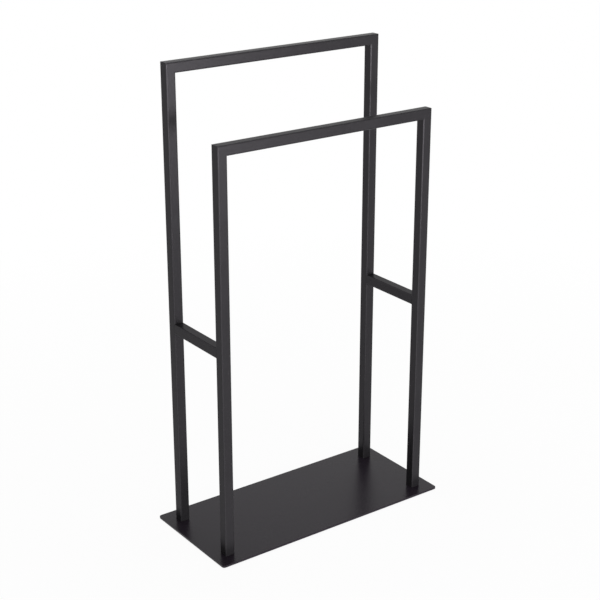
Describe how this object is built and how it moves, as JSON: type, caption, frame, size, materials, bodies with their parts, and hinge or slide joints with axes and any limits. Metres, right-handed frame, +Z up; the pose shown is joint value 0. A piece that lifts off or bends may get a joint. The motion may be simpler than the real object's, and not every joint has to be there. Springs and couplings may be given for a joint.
{
  "type": "freestanding towel stand",
  "caption": "Freestanding towel stand: a tall rear and a lower front inverted-U frame of square tube, tied by side cross bars, on a thin flat base plate.",
  "frame": {"origin": "on the floor under the middle of the base plate, level with the pads' undersides", "axes": "+Z up; +X along the rails, to the right as seen from the front; -Y towards the front, where the lower rail is"},
  "size_m": [0.47, 0.21, 0.82],
  "materials": {
    "plate_coating": "satin black powder coat on sheet steel",
    "tube_coating": "satin black powder coat on square steel tube",
    "plug_steel": "plain machined steel, inside the legs",
    "screw_steel": "black oxide, lightly oiled",
    "pad_foam": "matt black cell rubber"
  },
  "bodies": {
    "root": {"base_plate": "plate_coating", "rear_left_leg": "tube_coating", "rear_right_leg": "tube_coating", "rear_top_rail": "tube_coating", "front_left_leg": "tube_coating", "front_right_leg": "tube_coating", "front_top_rail": "tube_coating", "left_cross_bar": "tube_coating", "right_cross_bar": "tube_coating", "rear_left_leg_plug": "plug_steel", "rear_right_leg_plug": "plug_steel", "front_left_leg_plug": "plug_steel", "front_right_leg_plug": "plug_steel", "rear_left_screw": "screw_steel", "rear_right_screw": "screw_steel", "front_left_screw": "screw_steel", "front_right_screw": "screw_steel", "rear_left_floor_pad": "pad_foam", "rear_right_floor_pad": "pad_foam", "front_left_floor_pad": "pad_foam", "front_right_floor_pad": "pad_foam"}
  },
  "joints": []
}
